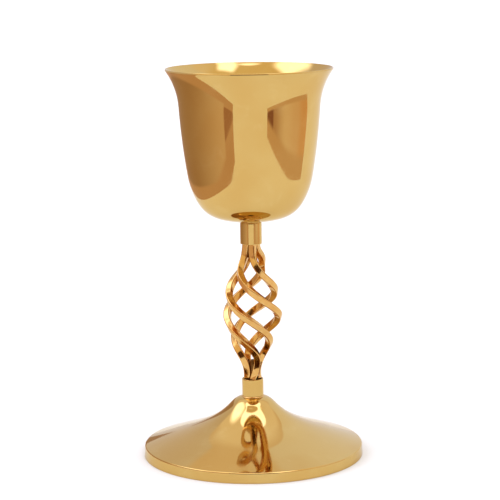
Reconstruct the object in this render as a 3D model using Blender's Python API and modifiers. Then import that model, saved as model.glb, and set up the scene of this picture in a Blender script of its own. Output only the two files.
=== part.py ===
"""Communion chalice: a spun bowl on an open stem of four twisted bars, screwed to a spun foot.

Metres, +Z up. The origin is the centre of the ring that the foot rests on, and +Z is the common axis.
A turned piece is an outline in the half-plane (r, z), made of straight runs and tangent arcs. A heading
of 0 degrees points away from the axis, and 90 degrees points up.
"""

import math

import bmesh
import bpy
from mathutils import Vector

MM = 0.001

# Overall
HEIGHT = 220.0 * MM
SHELL_STEPS = 48  # facets round the bowl and the foot
SMALL_STEPS = 32  # facets round a small turned piece
CLEARANCE = 0.3 * MM  # between two pieces that touch

# Foot: (arc radius, heading at its end), from the crown outwards; a negative radius bulges outwards
FOOT_SHEET = 0.9 * MM
FOOT_CROWN_TOP = 33.4 * MM
FOOT_CROWN_RADIUS = 4.6 * MM
FOOT_ARCS = ((-10.0 * MM, -49.0), (43.5 * MM, -26.5), (125.0 * MM, -19.0))
FOOT_BAND_RADIUS = 62.1 * MM
FOOT_BAND_HEADING = -86.0
FOOT_EDGE_RADIUS = 0.5 * MM
FOOT_HEM_WIDTH = 1.9 * MM
FOOT_HEM_HEIGHT = 3.6 * MM

# Bowl: (arc radius, heading at its end), from the axis up to the lip
BOWL_SHEET = 0.8 * MM
BOWL_BOTTOM = 133.75 * MM
BOWL_ARCS = (
    (69.0 * MM, 15.9),
    (17.4 * MM, 57.5),
    (43.5 * MM, 80.6),
    (392.0 * MM, 86.3),
    (-39.0 * MM, 56.5),
)

# Stem
FERRULE_RADIUS = 6.1 * MM
FERRULE_BORE = 5.35 * MM
FERRULE_EDGE = 0.3 * MM
LOWER_FERRULE_BOTTOM = 33.7 * MM
LOWER_FERRULE_TOP = 43.6 * MM
UPPER_FERRULE_BOTTOM = 121.3 * MM
UPPER_FERRULE_TOP = 133.55 * MM
PLUG_RADIUS = 5.0 * MM
BAR_GRIP = 4.2 * MM  # how far a bar's end goes into its ferrule

# Twisted bars: angles in degrees, and places along the open length from 0, at the bottom, to 1
BAR_COUNT = 4
BAR_SECTION = 3.75 * MM
BAR_CORNER = 0.6 * MM
BAR_STATIONS = 36
BUNDLE_GAP = 0.25 * MM
CAGE_RADIUS = 14.75 * MM
CAGE_BULGE = (1.02, 0.96, 0.99, 1.04)  # the four bars are sprung open by hand, not all alike
NECK_SPREAD = (-0.6 * MM, 1.5 * MM, 0.0, -0.5 * MM)  # and they leave the top bundle at their own rates
NECK_PLACE = 0.89
NECK_LENGTH = 0.05
CAGE_SKEW = 1.045  # above 1 puts the widest place above the middle
CAGE_TAPER_BOTTOM = 1.6
CAGE_TAPER_TOP = 1.8
TWIST_AT_MIDDLE = -198.5
TWIST_WHOLE = -411.0
UNWIND_BOTTOM = -83.0
UNWIND_BOTTOM_LENGTH = 0.21
UNWIND_TOP = 61.0
UNWIND_TOP_LENGTH = 0.23
ROLL_IN_BUNDLE = 45.0
ROLL_AT_MIDDLE = 19.0

# Fixings
CUP_STUD_RADIUS = 2.5 * MM
CUP_STUD_LENGTH = 5.0 * MM
CUP_FLANGE_RADIUS = 4.8 * MM
CUP_FLANGE_HEIGHT = 1.2 * MM
FOOT_STUD_RADIUS = 3.0 * MM
FOOT_STUD_BOTTOM = 20.0 * MM
WASHER_RADIUS = 8.0 * MM
WASHER_HEIGHT = 1.4 * MM
WASHER_TOP = 31.3 * MM
LOCK_WASHER_RADIUS = 5.6 * MM
LOCK_WASHER_HEIGHT = 1.6 * MM
LOCK_WASHER_SPLIT = 0.9 * MM
NUT_ACROSS_FLATS = 10.0 * MM
NUT_HEIGHT = 5.0 * MM
NUT_CHAMFER = 0.6 * MM
HOLE_RADIUS = FOOT_STUD_RADIUS + CLEARANCE

GOLD = (0.78, 0.47, 0.15)
BRASS = (0.70, 0.50, 0.22)
STEEL = (0.55, 0.55, 0.54)


class Outline:
    """A path in the half-plane (r, z) that remembers its heading."""

    def __init__(self, r, z, heading):
        self.points = [(r, z)]
        self.heading = math.radians(heading)

    def straight(self, length):
        r, z = self.points[-1]
        self.points.append((r + length * math.cos(self.heading), z + length * math.sin(self.heading)))

    def straight_to_radius(self, radius):
        self.straight((radius - self.points[-1][0]) / math.cos(self.heading))

    def straight_to_height(self, height):
        self.straight((height - self.points[-1][1]) / math.sin(self.heading))

    def arc(self, radius, heading, widest_step=8.0):
        """Turns to the heading on an arc: to the left with a positive radius, to the right with a negative one."""
        r, z = self.points[-1]
        start = self.heading
        end = math.radians(heading)
        count = max(2, math.ceil(abs(end - start) / math.radians(widest_step)))
        for i in range(1, count + 1):
            at = start + (end - start) * i / count
            turned_r = r + radius * (math.sin(at) - math.sin(start))
            turned_z = z + radius * (math.cos(start) - math.cos(at))
            self.points.append((turned_r, turned_z))
        self.heading = end


def clear_scene():
    for obj in list(bpy.data.objects):
        bpy.data.objects.remove(obj)


def make_collection(name):
    collection = bpy.data.collections.new(name)
    bpy.context.scene.collection.children.link(collection)
    return collection


def make_material(name, colour, roughness):
    material = bpy.data.materials.new(name)
    material.use_nodes = True
    shader = material.node_tree.nodes["Principled BSDF"]
    shader.inputs["Base Color"].default_value = (*colour, 1.0)
    shader.inputs["Metallic"].default_value = 1.0
    shader.inputs["Roughness"].default_value = roughness
    return material


def add_object(name, mesh, collection, material=None):
    obj = bpy.data.objects.new(name, mesh)
    collection.objects.link(obj)
    if material:
        mesh.materials.append(material)
    mesh.shade_smooth()
    mesh.set_sharp_from_angle(angle=math.radians(35))
    return obj


def turn(name, points, steps, collection, material):
    """A solid of revolution. The points run down the outer side; an outline off the axis is closed."""
    edges = [(i, i + 1) for i in range(len(points) - 1)]
    if points[0][0] > 0:
        edges.append((len(points) - 1, 0))
    mesh = bpy.data.meshes.new(name)
    mesh.from_pydata([(r, 0.0, z) for r, z in points], edges, [])
    obj = add_object(name, mesh, collection, material)
    screw = obj.modifiers.new("Turn", "SCREW")
    screw.angle = 2 * math.pi
    screw.steps = steps
    screw.render_steps = steps
    screw.use_merge_vertices = True
    screw.merge_threshold = 0.01 * MM
    screw.use_smooth_shade = True
    return obj


def turn_sleeve(name, outer, inner, bottom, top, collection, material, edge=0.0):
    """A turned ring or sleeve with its outer edges broken by a small chamfer."""
    if edge:
        points = [
            (outer, top - edge),
            (outer, bottom + edge),
            (outer - edge, bottom),
            (inner, bottom),
            (inner, top),
            (outer - edge, top),
        ]
    else:
        points = [(outer, top), (outer, bottom), (inner, bottom), (inner, top)]
    return turn(name, points, SMALL_STEPS, collection, material)


def bowl_wall(inset):
    """The bowl's section line from the axis to the end of its last arc, moved inwards by the inset."""
    wall = Outline(0.0, BOWL_BOTTOM + inset, 0.0)
    for radius, heading in BOWL_ARCS:
        wall.arc(radius - inset, heading)
    return wall


def add_bowl(collection, material):
    outside = bowl_wall(0.0)
    inside = bowl_wall(BOWL_SHEET)
    half = BOWL_SHEET / 2
    lip_height = HEIGHT - half - half * math.cos(outside.heading)
    lip_length = (lip_height - outside.points[-1][1]) / math.sin(outside.heading)
    outside.straight(lip_length)
    inside.straight(lip_length)
    outside.arc(half, math.degrees(outside.heading) + 180.0, widest_step=45.0)
    section = outside.points[:-1] + inside.points[::-1]
    return turn("cup_bowl", section[::-1], SHELL_STEPS, collection, material)


def foot_slope(inset):
    """The foot's section line from its hole to the end of its last arc, moved inwards by the inset."""
    slope = Outline(HOLE_RADIUS, FOOT_CROWN_TOP - inset, 0.0)
    slope.straight_to_radius(FOOT_CROWN_RADIUS)
    for radius, heading in FOOT_ARCS:
        slope.arc(radius + inset, heading)
    return slope


def add_foot_shell(collection, material):
    outside = foot_slope(0.0)
    edge_reach = FOOT_EDGE_RADIUS * (
        math.sin(outside.heading) - math.sin(math.radians(FOOT_BAND_HEADING))
    )
    outside.straight_to_radius(FOOT_BAND_RADIUS - edge_reach)
    outside.arc(-FOOT_EDGE_RADIUS, FOOT_BAND_HEADING, widest_step=25.0)
    outside.straight_to_height(0.0)
    base_radius = outside.points[-1][0]
    band_inside = FOOT_BAND_RADIUS - FOOT_SHEET
    inside = foot_slope(FOOT_SHEET)
    inside.straight_to_radius(band_inside)
    hem_inside = base_radius - FOOT_HEM_WIDTH
    hem = [(band_inside, FOOT_HEM_HEIGHT), (hem_inside, FOOT_HEM_HEIGHT), (hem_inside, 0.0)]
    section = outside.points + hem[::-1] + inside.points[::-1]
    return turn("foot_shell", section, SHELL_STEPS, collection, material)


def twist_angle(place):
    """How far round the stem the first bar has come, in radians, at a place from 0 to 1 along the cage."""
    angle = TWIST_AT_MIDDLE + TWIST_WHOLE * (place - 0.5)
    angle += UNWIND_BOTTOM * max(0.0, 1.0 - place / UNWIND_BOTTOM_LENGTH) ** 2
    angle += UNWIND_TOP * max(0.0, 1.0 - (1.0 - place) / UNWIND_TOP_LENGTH) ** 2
    return math.radians(angle)


def bar_centre(height, index):
    """A point on a bar's centre line."""
    place = (height - LOWER_FERRULE_TOP) / (UPPER_FERRULE_BOTTOM - LOWER_FERRULE_TOP)
    place = min(1.0, max(0.0, place))
    bundle_radius = (BAR_SECTION + BUNDLE_GAP) / math.sqrt(2)
    taper = CAGE_TAPER_BOTTOM + (CAGE_TAPER_TOP - CAGE_TAPER_BOTTOM) * place
    swell = max(0.0, math.sin(math.pi * place**CAGE_SKEW)) ** taper
    radius = bundle_radius + (CAGE_RADIUS - bundle_radius) * swell * CAGE_BULGE[index]
    radius += NECK_SPREAD[index] * math.exp(-(((place - NECK_PLACE) / NECK_LENGTH) ** 2))
    angle = twist_angle(place) + index * 2 * math.pi / BAR_COUNT
    return Vector((radius * math.sin(angle), -radius * math.cos(angle), height))


def place_on_bar(across, out, height, index):
    """Moves a point of a straight bar's section to the bent and twisted bar."""
    step = 0.2 * MM
    centre = bar_centre(height, index)
    along = (bar_centre(height + step, index) - bar_centre(height - step, index)).normalized()
    outward = Vector((centre.x, centre.y, 0.0))
    outward = (outward - outward.dot(along) * along).normalized()
    sideways = outward.cross(along)
    place = (height - LOWER_FERRULE_TOP) / (UPPER_FERRULE_BOTTOM - LOWER_FERRULE_TOP)
    openness = math.sin(math.pi * min(1.0, max(0.0, place))) ** 0.7
    roll = math.radians(ROLL_IN_BUNDLE + (ROLL_AT_MIDDLE - ROLL_IN_BUNDLE) * openness)
    turned_out = out * math.cos(roll) - across * math.sin(roll)
    turned_side = out * math.sin(roll) + across * math.cos(roll)
    return centre + turned_out * outward + turned_side * sideways


def add_bar(index, collection, material):
    """A straight square bar with rounded corners, cut into stations and then bent to the cage's curve."""
    bottom = LOWER_FERRULE_TOP - BAR_GRIP
    top = UPPER_FERRULE_BOTTOM + BAR_GRIP
    bm = bmesh.new()
    bmesh.ops.create_cube(bm, size=1.0)
    for vert in bm.verts:
        vert.co.x *= BAR_SECTION
        vert.co.y *= BAR_SECTION
        vert.co.z = top if vert.co.z > 0 else bottom
    corners = [edge for edge in bm.edges if abs(edge.verts[0].co.z - edge.verts[1].co.z) > BAR_GRIP]
    bmesh.ops.bevel(bm, geom=corners, offset=BAR_CORNER, segments=1, affect="EDGES")
    for i in range(1, BAR_STATIONS):
        cut_height = bottom + (top - bottom) * i / BAR_STATIONS
        everything = bm.verts[:] + bm.edges[:] + bm.faces[:]
        bmesh.ops.bisect_plane(bm, geom=everything, plane_co=(0, 0, cut_height), plane_no=(0, 0, 1))
    for vert in bm.verts:
        vert.co = place_on_bar(vert.co.x, vert.co.y, vert.co.z, index)
    name = f"twist_bar_{index + 1}"
    mesh = bpy.data.meshes.new(name)
    bm.to_mesh(mesh)
    bm.free()
    return add_object(name, mesh, collection, material)


def add_ferrules(collection, material):
    spans = {
        "lower_ferrule": (LOWER_FERRULE_BOTTOM, LOWER_FERRULE_TOP),
        "upper_ferrule": (UPPER_FERRULE_BOTTOM, UPPER_FERRULE_TOP),
    }
    for name, (bottom, top) in spans.items():
        turn_sleeve(name, FERRULE_RADIUS, FERRULE_BORE, bottom, top, collection, material, FERRULE_EDGE)


def add_upper_joint(collection, material):
    """The threaded plug over the bars' top ends, and the bowl's stud that screws into it."""
    flange_top = UPPER_FERRULE_TOP - CLEARANCE
    flange_bottom = flange_top - CUP_FLANGE_HEIGHT
    plug_top = flange_bottom - CLEARANCE
    plug_bottom = UPPER_FERRULE_BOTTOM + BAR_GRIP + CLEARANCE
    stud = [
        (0.0, flange_top),
        (CUP_FLANGE_RADIUS, flange_top),
        (CUP_FLANGE_RADIUS, flange_bottom),
        (CUP_STUD_RADIUS, flange_bottom),
        (CUP_STUD_RADIUS, flange_bottom - CUP_STUD_LENGTH),
        (0.0, flange_bottom - CUP_STUD_LENGTH),
    ]
    turn("cup_stud", stud, SMALL_STEPS, collection, material)
    bore = CUP_STUD_RADIUS + CLEARANCE
    turn_sleeve("upper_plug", PLUG_RADIUS, bore, plug_bottom, plug_top, collection, material)


def add_lower_joint(collection, material):
    """The threaded plug under the bars' bottom ends, and the rod that runs from it down through the foot."""
    plug_top = LOWER_FERRULE_TOP - BAR_GRIP - CLEARANCE
    turn_sleeve("lower_plug", PLUG_RADIUS, HOLE_RADIUS, LOWER_FERRULE_BOTTOM, plug_top, collection, material)
    rod_top = plug_top - CLEARANCE
    rod = [
        (0.0, rod_top),
        (FOOT_STUD_RADIUS, rod_top),
        (FOOT_STUD_RADIUS, FOOT_STUD_BOTTOM),
        (0.0, FOOT_STUD_BOTTOM),
    ]
    turn("foot_stud", rod, SMALL_STEPS, collection, material)


def add_split_washer(top, collection, cutters, material):
    bottom = top - LOCK_WASHER_HEIGHT
    washer = turn_sleeve("lock_washer", LOCK_WASHER_RADIUS, HOLE_RADIUS, bottom, top, collection, material)
    mesh = bpy.data.meshes.new("lock_washer_split")
    bm = bmesh.new()
    bmesh.ops.create_cube(bm, size=1.0)
    for vert in bm.verts:
        vert.co.x *= LOCK_WASHER_SPLIT
        vert.co.y *= 2 * LOCK_WASHER_RADIUS
        vert.co.z *= 4 * LOCK_WASHER_HEIGHT
    bm.to_mesh(mesh)
    bm.free()
    cutter = add_object("lock_washer_split", mesh, cutters)
    cutter.location = (0.0, LOCK_WASHER_RADIUS, (top + bottom) / 2)
    cutter.rotation_euler = (0.0, math.radians(25.0), 0.0)
    cutter.hide_render = True
    cutter.display_type = "WIRE"
    cut = washer.modifiers.new("Split", "BOOLEAN")
    cut.operation = "DIFFERENCE"
    cut.solver = "EXACT"
    cut.object = cutter


def add_nut(top, collection, cutters, material):
    """A hexagon with turned-off corners and a clearance hole for the threaded rod."""
    corner_radius = NUT_ACROSS_FLATS / 2 / math.cos(math.pi / 6)
    bm = bmesh.new()
    bmesh.ops.create_cone(
        bm, cap_ends=True, segments=6, radius1=corner_radius, radius2=corner_radius, depth=NUT_HEIGHT
    )
    mesh = bpy.data.meshes.new("foot_nut")
    bm.to_mesh(mesh)
    bm.free()
    nut = add_object("foot_nut", mesh, collection, material)
    nut.location = (0.0, 0.0, top - NUT_HEIGHT / 2)
    half = NUT_HEIGHT / 2
    flat_radius = NUT_ACROSS_FLATS / 2 - 0.2 * MM
    blank = [
        (flat_radius, half),
        (corner_radius + 0.1 * MM, half - NUT_CHAMFER),
        (corner_radius + 0.1 * MM, NUT_CHAMFER - half),
        (flat_radius, -half),
        (HOLE_RADIUS, -half),
        (HOLE_RADIUS, half),
    ]
    turned_blank = turn("foot_nut_blank", blank, SMALL_STEPS, cutters, material)
    turned_blank.location = nut.location
    turned_blank.hide_render = True
    turned_blank.display_type = "WIRE"
    cut = nut.modifiers.new("Corners and hole", "BOOLEAN")
    cut.operation = "INTERSECT"
    cut.solver = "EXACT"
    cut.object = turned_blank


def add_foot_fixings(collection, cutters, material):
    washer_bottom = WASHER_TOP - WASHER_HEIGHT
    turn_sleeve("foot_washer", WASHER_RADIUS, HOLE_RADIUS, washer_bottom, WASHER_TOP, collection, material)
    lock_top = washer_bottom - CLEARANCE
    add_split_washer(lock_top, collection, cutters, material)
    add_nut(lock_top - LOCK_WASHER_HEIGHT - CLEARANCE, collection, cutters, material)


def main():
    clear_scene()
    chalice = make_collection("communion_chalice")
    cutters = make_collection("cutters")
    gold = make_material("gold_plate", GOLD, 0.08)
    brass = make_material("raw_brass", BRASS, 0.35)
    steel = make_material("zinc_steel", STEEL, 0.35)
    add_bowl(chalice, gold)
    add_upper_joint(chalice, brass)
    add_ferrules(chalice, gold)
    for index in range(BAR_COUNT):
        add_bar(index, chalice, gold)
    add_lower_joint(chalice, brass)
    add_foot_shell(chalice, gold)
    add_foot_fixings(chalice, cutters, steel)


main()
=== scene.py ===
"""Looks for the communion chalice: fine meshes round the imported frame, gold, brass and zinc materials, a
pale floor, soft light and the camera.

Metres, +Z up, in the frame's own coordinates. A turned piece is a section line in the half-plane (r, z),
made of straight runs and tangent arcs. A heading of 0 degrees points away from the axis, 90 points up.
"""

import math

import bpy
from mathutils import Matrix, Vector, noise

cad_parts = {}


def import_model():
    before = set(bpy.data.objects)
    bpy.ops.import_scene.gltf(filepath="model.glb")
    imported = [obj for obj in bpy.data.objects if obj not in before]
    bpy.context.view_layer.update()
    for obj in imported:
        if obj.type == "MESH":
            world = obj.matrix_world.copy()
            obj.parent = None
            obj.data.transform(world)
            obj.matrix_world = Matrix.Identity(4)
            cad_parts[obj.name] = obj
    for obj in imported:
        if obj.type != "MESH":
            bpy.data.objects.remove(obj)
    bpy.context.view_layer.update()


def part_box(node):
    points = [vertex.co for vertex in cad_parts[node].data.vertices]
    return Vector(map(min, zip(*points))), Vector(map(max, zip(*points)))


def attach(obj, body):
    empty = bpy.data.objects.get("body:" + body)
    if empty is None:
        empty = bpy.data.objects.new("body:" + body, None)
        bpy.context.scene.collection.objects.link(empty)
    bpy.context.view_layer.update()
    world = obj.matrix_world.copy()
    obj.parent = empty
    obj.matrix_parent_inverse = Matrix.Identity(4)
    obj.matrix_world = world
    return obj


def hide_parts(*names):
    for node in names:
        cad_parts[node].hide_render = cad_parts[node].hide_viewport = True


MM = 0.001

# Turned shells: an arc is its radius and the heading where it ends; a negative radius bends back
SHELL_SEGMENTS = 256
SECTION_STEP = 0.6 * MM  # between two points of a section line
SECTION_PARTS = 4  # of a step, each with a heading of its own
SECTION_SOFTENING = 4.0 * MM  # length over which one arc eases into the next
SOFTENING_SAMPLES = 17
BOWL_SHEET = 0.8 * MM
BOWL_BOTTOM = 133.75 * MM
BOWL_ARCS = (
    (69.0 * MM, 15.9),
    (17.4 * MM, 57.5),
    (43.5 * MM, 80.6),
    (392.0 * MM, 86.3),
    (-39.0 * MM, 56.5),
)
LIP_ARCS = (  # here an arc is its radius and the way that its end faces
    (0.25 * MM, 4.0),
    (1.6 * MM, 26.0),
    (0.22 * MM, 146.5),
)
LIP_ARC_STEPS = 8
FOOT_SHEET = 0.9 * MM
FOOT_CROWN_TOP = 33.4 * MM
FOOT_CROWN_RADIUS = 4.6 * MM
FOOT_ARCS = ((-10.0 * MM, -49.0), (43.5 * MM, -26.5), (125.0 * MM, -19.0))
FOOT_HOLE = 3.3 * MM
FOOT_BAND_RADIUS = 62.1 * MM
FOOT_BAND_HEADING = -86.0
FOOT_BAND_STEPS = 8
FOOT_EDGE_RADIUS = 0.8 * MM
FOOT_EDGE_STEPS = 10
FOOT_HEEL = 0.25 * MM  # rounding of the edges that the foot stands on
FOOT_HEEL_STEPS = 5
FOOT_HOLE_EDGE = 0.15 * MM
FOOT_HEM_WIDTH = 1.9 * MM
FOOT_HEM_HEIGHT = 3.6 * MM
FOOT_INSIDE_STOP = 0.3 * MM  # the sheet's inner line ends this far short of the band's inner wall
FOOT_INSIDE_DROP = 0.5 * MM  # and that wall starts this far below its end

# Twisted bars: angles in degrees, and places along the open length from 0, at the bottom, to 1
BAR_COUNT = 4
BAR_SECTION = 3.75 * MM
BAR_CORNER = 0.6 * MM
BAR_CORNER_STEPS = 4
BAR_SUPPORT = 0.16 * MM  # the flat side's own points beside a rounded corner
BAR_STATIONS = 300
BAR_GRIP = 4.2 * MM
BUNDLE_GAP = 0.25 * MM
CAGE_RADIUS = 14.75 * MM
CAGE_BULGE = (1.02, 0.96, 0.99, 1.04)
NECK_SPREAD = (-0.6 * MM, 1.5 * MM, 0.0, -0.5 * MM)  # how far each bar parts early from the bundle
NECK_PLACE = 0.89  # just under the upper ferrule
NECK_LENGTH = 0.05
CAGE_SKEW = 1.045
CAGE_TAPER_BOTTOM = 1.6
CAGE_TAPER_TOP = 1.8
TWIST_AT_MIDDLE = -198.5
TWIST_WHOLE = -411.0
UNWIND_BOTTOM = -83.0
UNWIND_BOTTOM_LENGTH = 0.21
UNWIND_TOP = 61.0
UNWIND_TOP_LENGTH = 0.23
ROLL_IN_BUNDLE = 45.0
ROLL_AT_MIDDLE = 19.0
ROLL_UNEVENNESS = 3.0
ROLL_UNEVEN_LENGTH = 9.0 * MM
WIDTH_UNEVENNESS = 0.012
WIDTH_UNEVEN_LENGTH = 5.0 * MM
CORE_SHARE = 0.64  # of the bars' distance from the axis
CORE_STEPS = 48
CORE_REACH_TOP = 8.6 * MM
CORE_REACH_BOTTOM = 11.0 * MM

# Small turned pieces
SMALL_SEGMENTS = 96
THREAD_SEGMENTS = 64
FERRULE_BORE = 5.35 * MM
FERRULE_EDGE = 0.28 * MM
FERRULE_SUPPORT = 0.4 * MM  # from a rounded end to the straight wall's own point beside it
BORE_EDGE = 0.12 * MM
BRAZE_DEPTH = 1.2 * MM  # in from the ferrule's outside
BRAZE_INSET = 0.18 * MM
BRAZE_WAIST = 0.05 * MM
UPPER_BRAZE_HEIGHT = 0.42 * MM
UPPER_BRAZE_REACH = 0.10 * MM
LOWER_BRAZE_HEIGHT = 0.45 * MM
LOWER_BRAZE_REACH = 0.35 * MM
HOLE_RADIUS = 3.3 * MM
PLUG_BORE_TOP = 2.8 * MM
PLUG_CHAMFER = 0.3 * MM
CUP_STUD_RADIUS = 2.5 * MM
CUP_STUD_POINT = 0.7 * MM  # taken off the radius at the tip
CUP_STUD_TAPER = 0.4 * MM
CUP_STUD_RUN_OUT = 0.6 * MM  # length over which the thread dies out
CUP_FLANGE_HEIGHT = 1.2 * MM
CUP_FLANGE_EDGE = 0.15 * MM
FOOT_STUD_POINT = 0.9 * MM
FOOT_STUD_TAPER = 0.45 * MM
FOOT_STUD_RUN_OUT = 0.8 * MM
THREAD_PITCH = 1.0 * MM
THREAD_DEPTH = 0.45 * MM
THREAD_STEPS = 12  # rings in one pitch
BORE_THREAD_SHARE = 0.6  # of the depth of a stud's thread
WASHER_EDGE = 0.3 * MM
LOCK_WASHER_EDGE = 0.15 * MM
LOCK_WASHER_SPLIT = 0.9 * MM
LOCK_WASHER_SLANT = 25.0
LOCK_WASHER_STEPS = 90
NUT_ACROSS_FLATS = 10.0 * MM
NUT_SEGMENTS = 96
NUT_EASE = 0.12 * MM  # rounding between a side and the turned corners
NUT_FACE_INSET = 0.15 * MM
NUT_FACE_ANGLE = 30.0
NUT_BORE_CHAMFER = 0.4 * MM

# Colours, linear
GOLD = (0.618, 0.413, 0.135)
GOLD_DEEP = (0.598, 0.380, 0.114)
GOLD_PALE = (0.646, 0.447, 0.162)
BAR_GOLD = (0.71, 0.43, 0.14)
BAR_GOLD_DEEP = (0.67, 0.365, 0.105)
BAR_GOLD_PALE = (0.78, 0.52, 0.20)
GOLD_EDGE = (0.90, 0.88, 0.80)  # tint of the reflections at a grazing angle
BRASS = (0.66, 0.47, 0.19)
BRASS_DULL = (0.40, 0.27, 0.11)
# Near-black brazing metal of the bundles' cores: painted shade, for the shade deep between the bars
BRAZE_PAINTED_SHADE_DEEP = (0.17, 0.085, 0.025)
BRAZE_PAINTED_SHADE_SOFT = (0.34, 0.19, 0.06)
ZINC = (0.56, 0.57, 0.58)
ZINC_YELLOW = (0.60, 0.57, 0.46)
FLOOR_DARK = (0.80, 0.795, 0.705)
FLOOR_LIGHT = (0.84, 0.835, 0.745)

# Studio: the room's light by the direction it comes from, and low walls that show in the reflections
GLOW = 1.05
ROOM_LEFT = (0.80, 0.76, 0.85)
ROOM_RIGHT = (1.02, 1.05, 1.22)
ROOM_FRONT = (1.00, 0.86, 0.62)
CEILING = (1.08, 1.04, 1.08)
CEILING_EDGE = (0.90, 0.78, 0.70)
CEILING_SLOPE = 1.32  # how fast the ceiling's edge rises towards the back
SOFT_BOX = (2.7, 2.9, 4.0)
OVERHEAD = (2.5, 2.7, 3.8)
OVERHEAD_SHADE = (0.90, 0.75, 0.55)
LEFT_STOPS = (  # a wall's colours, each with its y
    (-0.257, (0.72, 0.49, 0.38)),
    (-0.243, (0.80, 0.62, 0.52)),
    (0.10, (0.49, 0.33, 0.24)),
)
LEFT_SKIRTING = (0.71, 0.48, 0.37)
LEFT_SKIRTING_TOP = 0.066
LEFT_END = (0.50, 0.28, 0.20)
RIGHT_STOPS = (
    (-0.437, (0.33, 0.16, 0.12)),
    (-0.423, (0.62, 0.42, 0.33)),
    (-0.22, (0.94, 0.80, 0.74)),
    (-0.08, (0.90, 0.70, 0.60)),
    (0.04, (0.88, 0.58, 0.40)),
)
RIGHT_SKIRTING = (0.79, 0.58, 0.46)
RIGHT_SKIRTING_TOP = 0.048
SKIRTING_BLUR = 0.009
FRONT_DUSK = (0.08, 0.035, 0.015)

# Camera: fitted once to the ellipses of the lip and the foot
CAMERA_PLACE = (-0.00065, -1.0132, 0.2926)
CAMERA_PITCH = 9.80
CAMERA_ROLL = 0.70
CAMERA_LENS = 131.5
CAMERA_SENSOR = 36.0


# ---------------------------------------------------------------- meshes


def add_mesh(name, verts, faces, sharp=None, smooth=True):
    """A mesh object in the scene; an edge that turns more than `sharp` degrees stays a crease."""
    mesh = bpy.data.meshes.new(name)
    mesh.from_pydata(verts, [], faces)
    mesh.validate()
    if smooth:
        mesh.shade_smooth()
    if sharp is not None:
        mesh.set_sharp_from_angle(angle=math.radians(sharp))
    obj = bpy.data.objects.new(name, mesh)
    bpy.context.scene.collection.objects.link(obj)
    return obj


def turn(name, outline, segments, closed=True, sharp=35.0):
    """A solid of revolution. The outline runs so that the outside is on its right, looking along it."""
    verts = []
    rings = []
    for r, z in outline:
        if r < 1e-7:
            rings.append([len(verts)] * segments)
            verts.append((0.0, 0.0, z))
            continue
        rings.append(list(range(len(verts), len(verts) + segments)))
        for i in range(segments):
            angle = 2 * math.pi * i / segments
            verts.append((r * math.cos(angle), r * math.sin(angle), z))
    pairs = list(zip(rings, rings[1:]))
    if closed and outline[0][0] > 1e-7:
        pairs.append((rings[-1], rings[0]))
    faces = []
    for lower, upper in pairs:
        for i in range(segments):
            j = (i + 1) % segments
            corner = [lower[i], lower[j], upper[j], upper[i]]
            face = list(dict.fromkeys(corner))
            if len(face) > 2:
                faces.append(face)
    return add_mesh(name, verts, faces, sharp)


def heading_line(start, heading, arcs, last_radius=None, last_height=None):
    """Points (r, z, heading) of a run of arcs and a last straight run, with the bends eased together.

    The straight run ends at a radius or at a height, whichever is given.
    """
    spans = []
    at = heading
    for radius, to in arcs:
        spans.append((abs(radius * math.radians(to - at)), at, to))
        at = to
    plain = [start]
    for length, a, b in spans:
        steps = max(2, math.ceil(length / SECTION_STEP) * SECTION_PARTS)
        for i in range(steps):
            angle = math.radians(a + (b - a) * (i + 0.5) / steps)
            r, z = plain[-1]
            plain.append((r + length / steps * math.cos(angle), z + length / steps * math.sin(angle)))
    end = math.radians(at)
    if last_radius is not None:
        run = (last_radius - plain[-1][0]) / math.cos(end)
    else:
        run = (last_height - plain[-1][1]) / math.sin(end)
    spans.append((run, at, at))
    target = (plain[-1][0] + run * math.cos(end), plain[-1][1] + run * math.sin(end))
    total = sum(length for length, a, b in spans)
    count = math.ceil(total / SECTION_STEP)

    def heading_at(s):
        s = min(max(s, 0.0), total)
        for length, a, b in spans:
            if s <= length:
                return a + (b - a) * s / length
            s -= length
        return spans[-1][2]

    def eased(s):
        reach = min(SECTION_SOFTENING / 2, s, total - s)
        if reach <= 0:
            return heading_at(s)
        headings = []
        for i in range(SOFTENING_SAMPLES):
            headings.append(heading_at(s + reach * (2 * (i + 0.5) / SOFTENING_SAMPLES - 1)))
        return sum(headings) / SOFTENING_SAMPLES

    points = [(start[0], start[1], eased(0.0))]
    part = total / count / SECTION_PARTS
    for i in range(count):
        r, z, _ = points[-1]
        for j in range(SECTION_PARTS):
            angle = math.radians(eased(total * (i + (j + 0.5) / SECTION_PARTS) / count))
            r += part * math.cos(angle)
            z += part * math.sin(angle)
        points.append((r, z, eased(total * (i + 1) / count)))
    missed_r = target[0] - points[-1][0]
    missed_z = target[1] - points[-1][1]
    return [
        (r + missed_r * i / count, z + missed_z * i / count, h) for i, (r, z, h) in enumerate(points)
    ]


def offset(line, distance):
    """The line moved to its left by the distance."""
    moved = []
    for r, z, h in line:
        angle = math.radians(h)
        moved.append((max(0.0, r - distance * math.sin(angle)), z + distance * math.cos(angle), h))
    return moved


def flat(line):
    """The line's points without their headings."""
    return [(r, z) for r, z, h in line]


def round_corners(points, radii, steps=5):
    """The closed outline with each corner replaced by an arc; a corner whose radius is 0 is kept."""
    made = []
    count = len(points)
    for i, size in enumerate(radii):
        if size <= 0:
            made.append(points[i])
            continue
        here = Vector(points[i])
        before = (Vector(points[i - 1]) - here).normalized()
        after = (Vector(points[(i + 1) % count]) - here).normalized()
        half = before.angle(after) / 2
        reach = size / math.tan(half)
        centre = here + (before + after).normalized() * (size / math.sin(half))
        a = here + before * reach - centre
        b = here + after * reach - centre
        start = math.atan2(a.y, a.x)
        sweep = (math.atan2(b.y, b.x) - start + math.pi) % (2 * math.pi) - math.pi
        for k in range(steps + 1):
            angle = start + sweep * k / steps
            made.append((centre.x + size * math.cos(angle), centre.y + size * math.sin(angle)))
    return made


# ---------------------------------------------------------------- bowl and foot


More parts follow.
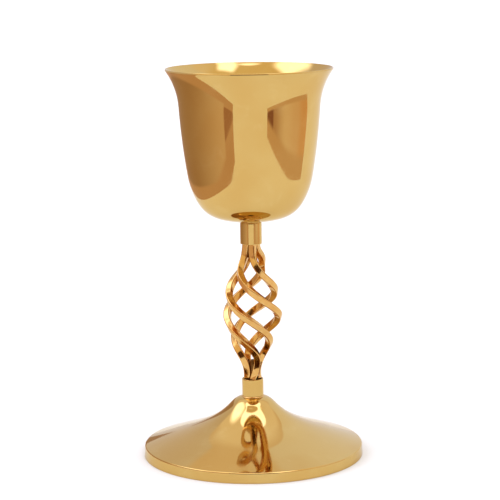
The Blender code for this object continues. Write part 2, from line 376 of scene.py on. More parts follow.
def make_bowl():
    """The sheet, with its lip burnished to an upright band and a fine round top."""
    facing = BOWL_ARCS[-1][1] - 90.0
    lip = [(0.0, 0.0)]
    for radius, to in LIP_ARCS:
        r, z = lip[-1]
        before = math.radians(facing)
        for i in range(1, LIP_ARC_STEPS + 1):
            now = math.radians(facing + (to - facing) * i / LIP_ARC_STEPS)
            turned_r = radius * (math.cos(now) - math.cos(before))
            turned_z = radius * (math.sin(now) - math.sin(before))
            lip.append((r + turned_r, z + turned_z))
        facing = to
    rise = max(z for r, z in lip)
    end_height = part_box("cup_bowl")[1].z - rise
    outside = heading_line((0.0, BOWL_BOTTOM), 0.0, BOWL_ARCS, last_height=end_height)
    inside = offset(outside, BOWL_SHEET)
    end_r = outside[-1][0]
    lip = [(end_r + r, end_height + z) for r, z in lip[1:]]
    outline = flat(outside) + lip + flat(inside)[::-1]
    return turn("bowl", outline, SHELL_SEGMENTS, closed=False, sharp=60.0)


def make_foot():
    """The sheet from the hole in its crown down to the band, with the hem turned in at the bottom."""
    edge = FOOT_EDGE_RADIUS
    slope = math.radians(FOOT_ARCS[-1][1])
    slant = math.radians(FOOT_BAND_HEADING)
    slope_end = FOOT_BAND_RADIUS - edge * (math.sin(slope) - math.sin(slant))
    outside = heading_line((FOOT_CROWN_RADIUS, FOOT_CROWN_TOP), 0.0, FOOT_ARCS, last_radius=slope_end)
    wall = FOOT_BAND_RADIUS - FOOT_SHEET
    inside = [p for p in offset(outside, -FOOT_SHEET) if p[0] < wall - FOOT_INSIDE_STOP]

    r, z, _ = outside[-1]
    rounding = []
    for i in range(1, FOOT_EDGE_STEPS + 1):
        now = slope + (slant - slope) * i / FOOT_EDGE_STEPS
        turned_r = edge * (math.sin(slope) - math.sin(now))
        turned_z = edge * (math.cos(slope) - math.cos(now))
        rounding.append((r + turned_r, z - turned_z))

    r, z = rounding[-1]
    base = r - z / math.tan(slant)
    band = []
    for i in range(1, FOOT_BAND_STEPS):
        share = i / FOOT_BAND_STEPS
        band.append((r + (base - r) * share, z * (1 - share)))

    heel = FOOT_HEEL
    heel_turn = []
    for i in range(FOOT_HEEL_STEPS + 1):
        a = math.pi / 2 * i / FOOT_HEEL_STEPS
        heel_turn.append((base - heel + heel * math.cos(a), heel - heel * math.sin(a)))
    hem_inside = base - FOOT_HEM_WIDTH
    bevel = heel * 0.3
    hem = [
        (hem_inside + heel, 0.0),
        (hem_inside + bevel, bevel),
        (hem_inside, heel),
        (hem_inside, FOOT_HEM_HEIGHT - heel),
        (hem_inside + bevel, FOOT_HEM_HEIGHT - bevel),
        (hem_inside + heel, FOOT_HEM_HEIGHT),
        (wall, FOOT_HEM_HEIGHT),
        (wall, inside[-1][1] - FOOT_INSIDE_DROP),
    ]

    bottom = FOOT_CROWN_TOP - FOOT_SHEET
    hole = [
        (FOOT_HOLE + FOOT_HOLE_EDGE, bottom),
        (FOOT_HOLE, bottom + FOOT_HOLE_EDGE),
        (FOOT_HOLE, FOOT_CROWN_TOP - FOOT_HOLE_EDGE),
        (FOOT_HOLE + FOOT_HOLE_EDGE, FOOT_CROWN_TOP),
    ]
    outline = flat(outside) + rounding + band + heel_turn + hem + flat(inside)[::-1] + hole
    return turn("foot", outline[::-1], SHELL_SEGMENTS, sharp=40.0)


# ---------------------------------------------------------------- stem


def open_length():
    """The heights between which the bars are out of the ferrules."""
    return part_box("lower_ferrule")[1].z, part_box("upper_ferrule")[0].z


def twist_angle(place):
    """How far the cage has turned about its axis; near both bundles the twist slows and turns back."""
    angle = TWIST_AT_MIDDLE + TWIST_WHOLE * (place - 0.5)
    angle += UNWIND_BOTTOM * max(0.0, 1.0 - place / UNWIND_BOTTOM_LENGTH) ** 2
    angle += UNWIND_TOP * max(0.0, 1.0 - (1.0 - place) / UNWIND_TOP_LENGTH) ** 2
    return math.radians(angle)


def bar_place(height, bottom, top):
    """0 at the bottom of the open length and below it, 1 at its top and above it."""
    return min(1.0, max(0.0, (height - bottom) / (top - bottom)))


def bar_centre(height, index, bottom, top):
    """The bar's centre line: in the bundle at both ends, swelling out to the cage between them."""
    place = bar_place(height, bottom, top)
    bundle_radius = (BAR_SECTION + BUNDLE_GAP) / math.sqrt(2)
    taper = CAGE_TAPER_BOTTOM + (CAGE_TAPER_TOP - CAGE_TAPER_BOTTOM) * place
    swell = max(0.0, math.sin(math.pi * place**CAGE_SKEW)) ** taper
    radius = bundle_radius + (CAGE_RADIUS - bundle_radius) * swell * CAGE_BULGE[index]
    radius += NECK_SPREAD[index] * math.exp(-(((place - NECK_PLACE) / NECK_LENGTH) ** 2))
    angle = twist_angle(place) + index * 2 * math.pi / BAR_COUNT
    return Vector((radius * math.sin(angle), -radius * math.cos(angle), height))


def bar_section():
    """The square section's points, with rounded corners and a point on each flat beside a corner."""
    half = BAR_SECTION / 2
    straight = half - BAR_CORNER
    points = []
    for quarter in range(4):
        turn_by = Matrix.Rotation(math.pi / 2 * quarter, 2)
        points.append(turn_by @ Vector((half, -straight + BAR_SUPPORT)))
        points.append(turn_by @ Vector((half, 0.0)))
        points.append(turn_by @ Vector((half, straight - BAR_SUPPORT)))
        for i in range(BAR_CORNER_STEPS + 1):
            a = math.pi / 2 * i / BAR_CORNER_STEPS
            corner = Vector((straight + BAR_CORNER * math.cos(a), straight + BAR_CORNER * math.sin(a)))
            points.append(turn_by @ corner)
    return points


def make_bar(index):
    """One square bar, bent and rolled to the cage's curve, with the slight unevenness of hand work."""
    bottom, top = open_length()
    low = bottom - BAR_GRIP
    high = top + BAR_GRIP
    section = bar_section()
    step = 0.2 * MM
    verts = []
    for station in range(BAR_STATIONS + 1):
        height = low + (high - low) * station / BAR_STATIONS
        centre = bar_centre(height, index, bottom, top)
        ahead = bar_centre(height + step, index, bottom, top)
        behind = bar_centre(height - step, index, bottom, top)
        along = (ahead - behind).normalized()
        outward = Vector((centre.x, centre.y, 0.0))
        outward = (outward - outward.dot(along) * along).normalized()
        sideways = outward.cross(along)
        openness = math.sin(math.pi * bar_place(height, bottom, top)) ** 0.7
        uneven_roll = noise.noise(Vector((height / ROLL_UNEVEN_LENGTH, 7.3 * index, 0.0)))
        uneven_width = noise.noise(Vector((height / WIDTH_UNEVEN_LENGTH, 3.1 * index, 5.0)))
        roll = math.radians(ROLL_IN_BUNDLE + (ROLL_AT_MIDDLE - ROLL_IN_BUNDLE) * openness)
        roll += math.radians(ROLL_UNEVENNESS) * uneven_roll * openness
        swell = 1.0 + WIDTH_UNEVENNESS * uneven_width * openness
        for p in section:
            out = (p.x * math.cos(roll) - p.y * math.sin(roll)) * swell
            side = (p.x * math.sin(roll) + p.y * math.cos(roll)) * swell
            verts.append(centre + out * outward + side * sideways)
    faces = []
    count = len(section)
    for station in range(BAR_STATIONS):
        for i in range(count):
            j = (i + 1) % count
            a = station * count
            b = a + count
            faces.append([a + i, b + i, b + j, a + j])
    faces.append(list(range(count)))
    faces.append([BAR_STATIONS * count + i for i in range(count)][::-1])
    return add_mesh(f"bar_{index + 1}", verts, faces, sharp=50.0)


def make_core(name, root, tip):
    """The brazing metal that fills the middle of a bundle where its bars part, out to a rounded tip."""
    bottom, top = open_length()
    line = []
    for i in range(CORE_STEPS + 1):
        share = math.sin(math.pi / 2 * i / CORE_STEPS)
        height = root + (tip - root) * share
        centres = [bar_centre(height, index, bottom, top) for index in range(BAR_COUNT)]
        reach = sum(math.hypot(centre.x, centre.y) for centre in centres) / BAR_COUNT
        line.append((CORE_SHARE * reach * (1.0 - share**6) ** 0.5, height))
    line = [(0.0, root)] + line[:-1] + [(0.0, tip)]
    if tip < root:
        line = line[::-1]
    return turn(name, line, SMALL_SEGMENTS, closed=False)


def make_ferrule(node):
    """A plain sleeve; a point beside each rounded end keeps the wall's shading straight."""
    low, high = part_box(node)
    support = FERRULE_EDGE + FERRULE_SUPPORT
    corners = [
        (high.x, low.z),
        (high.x, low.z + support),
        (high.x, high.z - support),
        (high.x, high.z),
        (FERRULE_BORE, high.z),
        (FERRULE_BORE, low.z),
    ]
    radii = [FERRULE_EDGE, 0.0, 0.0, FERRULE_EDGE, BORE_EDGE, BORE_EDGE]
    return turn(node + "_sleeve", round_corners(corners, radii), SMALL_SEGMENTS)


def make_braze(name, z_ferrule, z_shell, reach):
    """The thin fillet of brazing metal between a ferrule's end and the shell that it stands on."""
    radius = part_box("upper_ferrule")[1].x
    outline = [
        (radius - BRAZE_DEPTH, z_ferrule),
        (radius - BRAZE_INSET, z_ferrule),
        (radius - BRAZE_WAIST, (z_ferrule + z_shell) / 2),
        (radius + reach, z_shell),
        (radius - BRAZE_DEPTH, z_shell),
    ]
    if z_shell < z_ferrule:
        outline = outline[::-1]
    return turn(name, outline, SMALL_SEGMENTS)


# ---------------------------------------------------------------- fixings


def thread_wave(turns):
    """0 on the crest and 1 in the root of a 60 degree thread with small flats."""
    t = turns % 1.0
    ramp = abs(2 * t - 1)
    return min(1.0, max(0.0, 1.15 * ramp - 0.1))


def threaded_rows(radius, z_from, z_to, run_out, inner=False):
    """Rings of (radius for each segment, z) for a threaded surface; the thread dies out near both ends."""
    steps = math.ceil(abs(z_to - z_from) / (THREAD_PITCH / THREAD_STEPS))
    rows = []
    for k in range(steps + 1):
        z = z_from + (z_to - z_from) * k / steps
        near = min(abs(z - z_from), abs(z - z_to))
        lead = max(0.0, 1.0 - near / run_out) if run_out else 0.0
        ring = []
        for i in range(THREAD_SEGMENTS):
            depth = THREAD_DEPTH * thread_wave(z / THREAD_PITCH - i / THREAD_SEGMENTS)
            if inner:
                ring.append(radius + max(THREAD_DEPTH - depth, THREAD_DEPTH * lead) * BORE_THREAD_SHARE)
            else:
                ring.append(radius - max(depth, THREAD_DEPTH * 1.1 * lead))
        rows.append((ring, z))
    return rows


def ring_row(radius, z):
    """A plain round ring, in the form that threaded_rows() gives."""
    return ([radius] * THREAD_SEGMENTS, z)


def row_skin(rows):
    """Like turn(), for rings whose radius changes round the axis: open at both ends, and not yet a mesh."""
    verts = []
    faces = []
    for ring, z in rows:
        for i, r in enumerate(ring):
            angle = 2 * math.pi * i / THREAD_SEGMENTS
            verts.append((r * math.cos(angle), r * math.sin(angle), z))
    count = THREAD_SEGMENTS
    for row in range(len(rows) - 1):
        for i in range(count):
            j = (i + 1) % count
            a = row * count
            faces.append([a + i, a + j, a + count + j, a + count + i])
    return verts, faces


def make_stud(name, rows):
    """A solid rod through the rings, closed by a flat face at each end."""
    verts, faces = row_skin(rows)
    count = THREAD_SEGMENTS
    first = len(verts)
    last = first + 1
    verts += [(0.0, 0.0, rows[0][1]), (0.0, 0.0, rows[-1][1])]
    end = (len(rows) - 1) * count
    for i in range(count):
        j = (i + 1) % count
        faces.append([first, j, i])
        faces.append([last, end + i, end + j])
    return add_mesh(name, verts, faces, sharp=32.0)


def make_foot_stud():
    """A rod threaded from end to end, with both tips tapered."""
    low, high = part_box("foot_stud")
    tip = high.x - FOOT_STUD_POINT
    start = low.z + FOOT_STUD_TAPER
    stop = high.z - FOOT_STUD_TAPER
    rows = [ring_row(tip, low.z)]
    rows += threaded_rows(high.x, start, stop, FOOT_STUD_RUN_OUT)
    rows.append(ring_row(tip, high.z))
    return make_stud("foot_stud_rod", rows)


def make_cup_stud():
    """A short threaded stud under a round flange."""
    low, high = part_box("cup_stud")
    flange = high.x
    flange_bottom = high.z - CUP_FLANGE_HEIGHT
    edge = CUP_FLANGE_EDGE
    rows = [ring_row(CUP_STUD_RADIUS - CUP_STUD_POINT, low.z)]
    rows += threaded_rows(CUP_STUD_RADIUS, low.z + CUP_STUD_TAPER, flange_bottom, CUP_STUD_RUN_OUT)
    rows.append(ring_row(flange - edge, flange_bottom))
    rows.append(ring_row(flange, flange_bottom + edge))
    rows.append(ring_row(flange, high.z - edge))
    rows.append(ring_row(flange - edge, high.z))
    return make_stud("cup_stud_turned", rows)


def make_plug(node, bore):
    """A turned plug with chamfered ends and a threaded bore."""
    low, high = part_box(node)
    radius = high.x
    chamfer = PLUG_CHAMFER
    rows = [
        ring_row(bore + chamfer, low.z),
        ring_row(radius - chamfer, low.z),
        ring_row(radius, low.z + chamfer),
        ring_row(radius, high.z - chamfer),
        ring_row(radius - chamfer, high.z),
        ring_row(bore + chamfer, high.z),
    ]
    rows += threaded_rows(bore, high.z - chamfer, low.z + chamfer, 0.0, inner=True)
    verts, faces = row_skin(rows)
    count = THREAD_SEGMENTS
    last = (len(rows) - 1) * count
    for i in range(count):
        j = (i + 1) % count
        faces.append([last + i, last + j, j, i])
    return add_mesh(node + "_turned", verts, faces, sharp=32.0)


def make_washer():
    """A flat washer with rounded edges."""
    low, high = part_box("foot_washer")
    corners = [(high.x, low.z), (high.x, high.z), (HOLE_RADIUS, high.z), (HOLE_RADIUS, low.z)]
    radii = [WASHER_EDGE, WASHER_EDGE, BORE_EDGE, BORE_EDGE]
    return turn("washer", round_corners(corners, radii), SMALL_SEGMENTS)


def make_lock_washer():
    """A rectangular spring wire wound round once, with slanted ends that stand a little apart."""
    low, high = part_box("lock_washer")
    outer = high.x
    middle = (low.z + high.z) / 2
    corners = [(outer, low.z), (outer, high.z), (HOLE_RADIUS, high.z), (HOLE_RADIUS, low.z)]
    section = round_corners(corners, [LOCK_WASHER_EDGE] * 4, steps=3)
    count = len(section)
    steps = LOCK_WASHER_STEPS
    gap = LOCK_WASHER_SPLIT / 2
    slant = math.tan(math.radians(LOCK_WASHER_SLANT))
    verts = []
    faces = []
    for k in range(steps + 1):
        for r, z in section:
            end = math.asin(min(1.0, gap / r))
            lean = slant * (z - middle) / r
            start_angle = math.pi / 2 + end - lean
            stop_angle = math.pi / 2 + 2 * math.pi - end - lean
            angle = start_angle + (stop_angle - start_angle) * k / steps
            verts.append((r * math.cos(angle), r * math.sin(angle), z))
    for k in range(steps):
        for i in range(count):
            j = (i + 1) % count
            a = k * count
            faces.append([a + i, a + count + i, a + count + j, a + j])
    faces.append(list(range(count)))
    faces.append([steps * count + i for i in range(count)][::-1])
    return add_mesh("spring_washer", verts, faces, sharp=40.0)


def make_nut():
    """A hexagon with turned corners and a chamfered bore."""
    low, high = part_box("foot_nut")
    flat_radius = NUT_ACROSS_FLATS / 2
    face_radius = flat_radius - NUT_FACE_INSET
    count = NUT_SEGMENTS

    sides = []
    for i in range(count):
        angle = (2 * math.pi * i / count) % (math.pi / 3) - math.pi / 6
        sides.append(flat_radius / math.cos(angle))
    eased = [r - NUT_EASE for r in sides]
    bore = [HOLE_RADIUS] * count
    bore_wide = [HOLE_RADIUS + NUT_BORE_CHAMFER] * count
    face = [face_radius] * count

    def cut_back(radii, past=0.0):
        """How far each point lies from the nut's end, on the cone that turns its corners off."""
        return [max(0.0, r - face_radius) * math.tan(math.radians(NUT_FACE_ANGLE)) + past for r in radii]

    half = [
        (bore, [NUT_BORE_CHAMFER] * count),
        (bore_wide, [0.0] * count),
        (face, [0.0] * count),
        (eased, cut_back(eased)),
        (sides, cut_back(sides, NUT_EASE)),
    ]
    rows = [(radii, [low.z + depth for depth in depths]) for radii, depths in half]
    rows += [(radii, [high.z - depth for depth in depths]) for radii, depths in half[::-1]]
    verts = []
    for radii, heights in rows:
        for i in range(count):
            angle = 2 * math.pi * i / count
            verts.append((radii[i] * math.cos(angle), radii[i] * math.sin(angle), heights[i]))
    faces = []
    for row in range(len(rows)):
        for i in range(count):
            j = (i + 1) % count
            a = row * count
            b = (row + 1) % len(rows) * count
            faces.append([a + i, a + j, b + j, b + i])
    return add_mesh("hex_nut", verts, faces, sharp=25.0)


# ---------------------------------------------------------------- materials


class Wiring:
    """Adds nodes to a tree and links what they take, so that a material reads as a list of steps."""

    def __init__(self, tree):
        self.tree = tree

    def add(self, kind, inputs=(), **settings):
        node = self.tree.nodes.new(kind)
        for name, value in settings.items():
            setattr(node, name, value)
        pairs = inputs.items() if isinstance(inputs, dict) else enumerate(inputs)
        for key, value in pairs:
            self.put(value, node.inputs[key])
        return node

    def put(self, value, socket):
        if isinstance(value, bpy.types.NodeSocket):
            self.tree.links.new(value, socket)
        elif value is not None:
            socket.default_value = value

    def math(self, operation, a, b=None):
        return self.add("ShaderNodeMath", (a, b), operation=operation).outputs[0]

    def vector_math(self, operation, a, b):
        return self.add("ShaderNodeVectorMath", (a, b), operation=operation).outputs[0]

    def noise(self, vector, scale, detail=2.0, roughness=0.5, distortion=0.0):
        inputs = {
            "Vector": vector,
            "Scale": scale,
            "Detail": detail,
            "Roughness": roughness,
            "Distortion": distortion,
        }
        return self.add("ShaderNodeTexNoise", inputs).outputs["Fac"]

    def span(self, value, low, high, to_low=0.0, to_high=1.0):
        """The value eased from low..high to another range, and held at its ends."""
        inputs = {"Value": value, "From Min": low, "From Max": high, "To Min": to_low, "To Max": to_high}
        return self.add("ShaderNodeMapRange", inputs, interpolation_type="SMOOTHSTEP").outputs["Result"]

    def mix(self, factor, a, b):
        """Colour a, where the factor is 0, to colour b."""
        node = self.add("ShaderNodeMix", data_type="RGBA")
        self.put(factor, node.inputs["Factor"])
        self.put((*a, 1.0) if isinstance(a, tuple) else a, node.inputs[6])
        self.put((*b, 1.0) if isinstance(b, tuple) else b, node.inputs[7])
        return node.outputs[2]

    def dot(self, a, b):
        node = self.add("ShaderNodeVectorMath", (a, b), operation="DOT_PRODUCT")
        return node.outputs["Value"]

    def bump(self, height, distance, normal=None):
        inputs = {"Strength": 1.0, "Distance": distance, "Height": height, "Normal": normal}
        return self.add("ShaderNodeBump", inputs).outputs["Normal"]


def new_metal(name):
    """A metal material, its wiring and its shader."""
    material = bpy.data.materials.new(name)
    material.use_nodes = True
    wiring = Wiring(material.node_tree)
    shader = material.node_tree.nodes["Principled BSDF"]
    shader.inputs["Metallic"].default_value = 1.0
    return material, wiring, shader


def gold_edge(shader):
    """Gold keeps its colour nearly to the edge, where reflections turn to this pale tint."""
    shader.inputs["Specular Tint"].default_value = (*GOLD_EDGE, 1.0)


def object_place(w):
    """The place on the piece, in metres."""
    return w.add("ShaderNodeTexCoord").outputs["Object"]


def section_place(w, place):
    """The place on the section line: the distance from the axis, and the height."""
    x, y, height = w.add("ShaderNodeSeparateXYZ", (place,)).outputs
    squares = w.math("ADD", w.math("MULTIPLY", x, x), w.math("MULTIPLY", y, y))
    return w.add("ShaderNodeCombineXYZ", (w.math("SQRT", squares), height, 0.0)).outputs[0]


def lathe_lines(w, section, size):
    """Noise that changes along the section and stays the same all the way round."""
    return w.noise(section, 1.0 / size, detail=3.0, roughness=0.6)


def gold_shell(name, roughness, line_depth, wave_depth):
    """Mirror-polished gold plate on spun sheet: faint lathe lines under it, and a slow waviness."""
    material, w, shader = new_metal(name)
    gold_edge(shader)
    place = object_place(w)
    section = section_place(w, place)
    slow = w.noise(place, 32.0, detail=2.0)
    patch = w.noise(place, 75.0, detail=4.0, roughness=0.62, distortion=0.6)
    grain = w.noise(place, 900.0, detail=3.0, roughness=0.6)
    waves = w.noise(place, 38.0, detail=1.0)
    lines = lathe_lines(w, section, 0.5 * MM)
    bands = lathe_lines(w, section, 5.0 * MM)

    tint = w.mix(w.span(slow, 0.35, 0.65), GOLD_DEEP, GOLD)
    tint = w.mix(w.span(patch, 0.52, 0.75, 0.0, 0.55), tint, GOLD_PALE)
    w.put(tint, shader.inputs["Base Color"])

    haze = w.span(patch, 0.45, 0.72, 0.0, 0.05)
    brushed = w.math("MULTIPLY", w.math("SUBTRACT", lines, 0.5), 0.05)
    specks = w.span(grain, 0.62, 0.75, 0.0, 0.05)
    rough = w.math("ADD", w.math("ADD", haze, brushed), w.math("ADD", specks, roughness))
    w.put(rough, shader.inputs["Roughness"])

    normal = w.bump(waves, wave_depth)
    normal = w.bump(bands, line_depth * 6, normal)
    normal = w.bump(lines, line_depth, normal)
    normal = w.bump(grain, 0.0006 * MM, normal)
    w.put(normal, shader.inputs["Normal"])
    return material


def gold_bar(name, roughness, dent_depth):
    """Gold plate on hand-finished bar: polishing streaks, softened dents and deeper colour in patches."""
    material, w, shader = new_metal(name)
    gold_edge(shader)
    place = object_place(w)
    patch = w.noise(place, 150.0, detail=4.0, roughness=0.6, distortion=0.4)
    dents = w.noise(place, 260.0, detail=1.0)
    grain = w.noise(place, 1800.0, detail=3.0, roughness=0.6)
    stretched = w.vector_math("MULTIPLY", place, (1.0, 1.0, 0.25))
    streaks = w.noise(stretched, 1500.0, detail=3.0, roughness=0.65)

    tint = w.mix(w.span(patch, 0.35, 0.65), BAR_GOLD_DEEP, BAR_GOLD)
    tint = w.mix(w.span(dents, 0.58, 0.78, 0.0, 0.5), tint, BAR_GOLD_PALE)
    w.put(tint, shader.inputs["Base Color"])

    rough = w.math("ADD", w.span(patch, 0.4, 0.75, 0.0, 0.08), w.span(streaks, 0.4, 0.8, 0.0, 0.08))
    w.put(w.math("ADD", rough, roughness), shader.inputs["Roughness"])

    normal = w.bump(dents, dent_depth)
    normal = w.bump(streaks, 0.0012 * MM, normal)
    normal = w.bump(grain, 0.0008 * MM, normal)
    w.put(normal, shader.inputs["Normal"])
    return material


def braze_painted_shade():
    """Brazing metal in the middle of a bundle, dull and grainy; its near-black colour is painted shade, for
    the hollow between the bars.
    """
    material, w, shader = new_metal("braze_core_painted_shade")
    place = object_place(w)
    patch = w.noise(place, 420.0, detail=4.0, roughness=0.6)
    grain = w.noise(place, 2200.0, detail=3.0, roughness=0.6)
    # painted shade: the core's near-black colour, in patches
    w.put(w.mix(w.span(patch, 0.4, 0.7), BRAZE_PAINTED_SHADE_DEEP, BRAZE_PAINTED_SHADE_SOFT), shader.inputs["Base Color"])
    w.put(w.span(patch, 0.3, 0.7, 0.34, 0.5), shader.inputs["Roughness"])
    w.put(w.bump(grain, 0.01 * MM), shader.inputs["Normal"])
    return material


def turned_brass():
    """Machined brass without plating, dulled by handling."""
    material, w, shader = new_metal("turned_brass")
    place = object_place(w)
    lines = lathe_lines(w, section_place(w, place), 0.12 * MM)
    patch = w.noise(place, 220.0, detail=4.0, roughness=0.6)
    w.put(w.mix(w.span(patch, 0.4, 0.7, 0.0, 0.8), BRASS, BRASS_DULL), shader.inputs["Base Color"])
    rough = w.math("ADD", w.span(patch, 0.35, 0.7, 0.26, 0.42), w.math("MULTIPLY", lines, 0.1))
    w.put(rough, shader.inputs["Roughness"])
    w.put(w.bump(lines, 0.006 * MM), shader.inputs["Normal"])
    return material


def zinc_plate():
    """Zinc-plated steel: cloudy, with a faint yellow passivation and a fine grain."""
    material, w, shader = new_metal("zinc_plate")
    place = object_place(w)
    cloud = w.noise(place, 260.0, detail=4.0, roughness=0.6)
    grain = w.noise(place, 2400.0, detail=3.0, roughness=0.6)
    w.put(w.mix(w.span(cloud, 0.4, 0.65), ZINC, ZINC_YELLOW), shader.inputs["Base Color"])
    rough = w.math("ADD", w.span(cloud, 0.3, 0.7, 0.28, 0.44), w.math("MULTIPLY", grain, 0.08))
    w.put(rough, shader.inputs["Roughness"])
    w.put(w.bump(grain, 0.004 * MM), shader.inputs["Normal"])
    return material


# ---------------------------------------------------------------- stage


def floor_material():
    """Pale card with a fine fibre."""
    material = bpy.data.materials.new("floor")
    material.use_nodes = True
    w = Wiring(material.node_tree)
    shader = material.node_tree.nodes["Principled BSDF"]
    fibre = w.noise(object_place(w), 900.0, detail=3.0)
    w.put(w.mix(fibre, FLOOR_DARK, FLOOR_LIGHT), shader.inputs["Base Color"])
    shader.inputs["Roughness"].default_value = 0.9
    shader.inputs["Specular IOR Level"].default_value = 0.1
    return material


def add_floor():
    reach = 14.0
    verts = [(-reach, -reach, 0.0), (reach, -reach, 0.0), (reach, reach, 0.0), (-reach, reach, 0.0)]
    floor = add_mesh("floor", verts, [[0, 1, 2, 3]], smooth=False)
    floor.data.materials.append(floor_material())


def glow_material(name):
    """An empty glowing material, its wiring and the socket that takes the colour."""
    material = bpy.data.materials.new(name)
    material.use_nodes = True
    tree = material.node_tree
    tree.nodes.clear()
    w = Wiring(tree)
    glow = w.add("ShaderNodeEmission", {"Strength": GLOW})
    out = w.add("ShaderNodeOutputMaterial")
    w.put(glow.outputs[0], out.inputs[0])
    return material, w, glow.inputs["Color"]


def plain_glow(name, colour):
    """A card's light, the same all over."""
    material, _, socket = glow_material(name)
    socket.default_value = (*colour, 1.0)
    return material


def wall_glow(name, skirting, skirting_top, stops):
    """A low wall's light: a band along the floor, and above it colours that ease from stop to stop."""
    material, w, socket = glow_material(name)
    _, y, z = w.add("ShaderNodeSeparateXYZ", (object_place(w),)).outputs
    body = stops[0][1]
    for (before, _), (after, colour) in zip(stops, stops[1:]):
        body = w.mix(w.span(y, before, after), body, colour)
    above = w.span(z, skirting_top - SKIRTING_BLUR, skirting_top + SKIRTING_BLUR)
    w.put(w.mix(above, skirting, body), socket)
    return material


def add_card(name, corners, material):
    """A studio card that only shows in the reflections, as a low wall beside the table does."""
    card = add_mesh(name, corners, [[0, 1, 2, 3]], smooth=False)
    card.data.materials.append(material)
    card.visible_camera = False
    card.visible_diffuse = False
    card.visible_shadow = False
    card.visible_transmission = False
    card.visible_volume_scatter = False


def standing_card(name, start, end, low, high, material):
    """An upright card over the line from start to end on the floor."""
    corners = [(*start, low), (*end, low), (*end, high), (*start, high)]
    add_card(name, corners, material)


def add_cards():
    """A low wall on either side of the table, the left one's darker near end, and the dusk in front."""
    left = wall_glow("card_left", LEFT_SKIRTING, LEFT_SKIRTING_TOP, LEFT_STOPS)
    standing_card("card_left", (-0.205, -0.42), (-0.264, 1.20), 0.0, 0.175, left)
    end = plain_glow("card_left_end", LEFT_END)
    standing_card("card_left_end", (-0.203, -0.42), (-0.209, -0.25), 0.091, 0.175, end)
    right = wall_glow("card_right", RIGHT_SKIRTING, RIGHT_SKIRTING_TOP, RIGHT_STOPS)
    standing_card("card_right", (0.30, -0.565), (0.47, 0.12), 0.0, 0.17, right)
    dusk = plain_glow("card_front", FRONT_DUSK)
    standing_card("card_front", (-0.85, -1.75), (0.85, -1.75), 0.03, 1.05, dusk)


def on_dome(azimuth, elevation):
    """A direction from the stem: azimuth 0 is towards the camera, and it grows to the right."""
    a = math.radians(azimuth)
    e = math.radians(elevation)
    return Vector((math.cos(e) * math.sin(a), -math.cos(e) * math.cos(a), math.sin(e)))


def soft_box(w, direction, azimuth, elevation, half_width, half_height, edge):
    """1 inside a rectangle of the sky, seen from the middle, and 0 outside it; sizes are in degrees."""
    centre = on_dome(azimuth, elevation)
    right = Vector((0.0, 0.0, 1.0)).cross(centre).normalized()
    up = centre.cross(right)
    ahead = w.dot(direction, centre)
    nearly_aside = 0.05
    inside = w.math("GREATER_THAN", ahead, nearly_aside)
    depth = w.math("MAXIMUM", ahead, nearly_aside)
    for axis, half in ((right, half_width), (up, half_height)):
        aside = w.math("ABSOLUTE", w.math("DIVIDE", w.dot(direction, axis), depth))
        inner = math.tan(math.radians(half - edge))
        outer = math.tan(math.radians(half + edge))
        inside = w.math("MULTIPLY", inside, w.span(aside, inner, outer, 1.0, 0.0))
    return inside


def add_world():
    """A white room with a bright ceiling, a soft box high on either side and a wide one overhead."""
    world = bpy.data.worlds.new("studio")
    bpy.context.scene.world = world
    world.use_nodes = True
    w = Wiring(world.node_tree)
    background = world.node_tree.nodes["Background"]
    direction = w.add("ShaderNodeTexCoord").outputs["Generated"]
    x, y, z = w.add("ShaderNodeSeparateXYZ", (direction,)).outputs

    sides = w.mix(w.span(x, -0.5, 0.5), ROOM_LEFT, ROOM_RIGHT)
    leftward = w.math("MAXIMUM", w.math("MULTIPLY", x, -1.0), 0.0)
    above = w.math("SUBTRACT", w.math("ADD", z, leftward), w.math("MULTIPLY", y, CEILING_SLOPE))
    ceiling = w.mix(w.span(above, 0.0, 0.30), CEILING_EDGE, CEILING)
    is_ceiling = w.math("MULTIPLY", w.span(above, 0.0, 0.03), w.span(z, 0.60, 0.66))
    light = w.mix(is_ceiling, sides, ceiling)
    light = w.mix(w.span(y, -0.35, 0.0), ROOM_FRONT, light)

    left = soft_box(w, direction, -92.0, 50.0, 21.0, 13.0, edge=6.0)
    right = soft_box(w, direction, 46.0, 57.0, 10.0, 7.0, edge=4.0)
    light = w.mix(w.math("MAXIMUM", left, right), light, SOFT_BOX)
    overhead = w.span(w.dot(direction, on_dome(0.0, 85.0)), 0.908, 0.926)
    light = w.mix(overhead, light, OVERHEAD)
    shade = soft_box(w, direction, -9.0, 74.0, 17.0, 3.4, edge=1.5)
    light = w.mix(shade, light, OVERHEAD_SHADE)
    w.put(light, background.inputs["Color"])
    background.inputs["Strength"].default_value = GLOW


def add_camera():
    data = bpy.data.cameras.new("camera")
    data.lens = CAMERA_LENS
    data.sensor_width = CAMERA_SENSOR
    data.clip_start = 0.05
    data.clip_end = 60.0
    camera = bpy.data.objects.new("camera", data)
    bpy.context.scene.collection.objects.link(camera)
    look = Matrix.Rotation(math.radians(90.0 - CAMERA_PITCH), 4, "X")
    turned = Matrix.Rotation(math.radians(-CAMERA_ROLL), 4, "Z")
    camera.matrix_world = Matrix.Translation(CAMERA_PLACE) @ look @ turned
    bpy.context.scene.camera = camera


# ---------------------------------------------------------------- putting it together


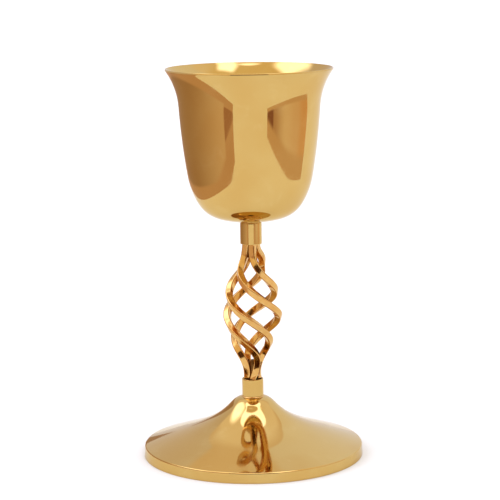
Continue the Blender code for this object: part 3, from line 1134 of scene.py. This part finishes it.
def dress(obj, material, slot, *nodes):
    """Gives a piece its material, its body and the CAD nodes that it replaces; the slot is not used."""
    obj.data.materials.append(material)
    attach(obj, "root")
    if nodes:
        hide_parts(*nodes)


def main():
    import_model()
    bpy.context.scene.view_settings.view_transform = "Standard"

    shell_gold = gold_shell("shell_gold", 0.045, 0.00025 * MM, 0.02 * MM)
    stem_gold = gold_bar("stem_gold", 0.09, 0.02 * MM)
    sleeve_gold = gold_shell("sleeve_gold", 0.09, 0.0004 * MM, 0.01 * MM)
    braze = gold_bar("braze", 0.26, 0.03 * MM)
    # the cores' near-black brazing metal is painted shade
    core = braze_painted_shade()
    brass = turned_brass()
    zinc = zinc_plate()

    dress(make_bowl(), shell_gold, "gold_plate", "cup_bowl")
    dress(make_foot(), shell_gold, "gold_plate", "foot_shell")
    for index in range(BAR_COUNT):
        dress(make_bar(index), stem_gold, "gold_stem", f"twist_bar_{index + 1}")
    for node in ("upper_ferrule", "lower_ferrule"):
        dress(make_ferrule(node), sleeve_gold, "gold_stem", node)

    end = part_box("upper_ferrule")[1].z
    fillet = make_braze("upper_braze", end, end + UPPER_BRAZE_HEIGHT, UPPER_BRAZE_REACH)
    dress(fillet, braze, "gold_stem")
    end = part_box("lower_ferrule")[0].z
    fillet = make_braze("lower_braze", end, end - LOWER_BRAZE_HEIGHT, LOWER_BRAZE_REACH)
    dress(fillet, braze, "gold_stem")
    bottom, top = open_length()
    dress(make_core("upper_core", top + BAR_GRIP, top - CORE_REACH_TOP), core, "gold_stem")
    dress(make_core("lower_core", bottom - BAR_GRIP, bottom + CORE_REACH_BOTTOM), core, "gold_stem")

    dress(make_cup_stud(), brass, "raw_brass", "cup_stud")
    dress(make_foot_stud(), brass, "raw_brass", "foot_stud")
    dress(make_plug("upper_plug", PLUG_BORE_TOP), brass, "raw_brass", "upper_plug")
    dress(make_plug("lower_plug", HOLE_RADIUS), brass, "raw_brass", "lower_plug")
    dress(make_washer(), zinc, "zinc_steel", "foot_washer")
    dress(make_lock_washer(), zinc, "zinc_steel", "lock_washer")
    dress(make_nut(), zinc, "zinc_steel", "foot_nut")

    add_floor()
    add_cards()
    add_world()
    add_camera()


main()
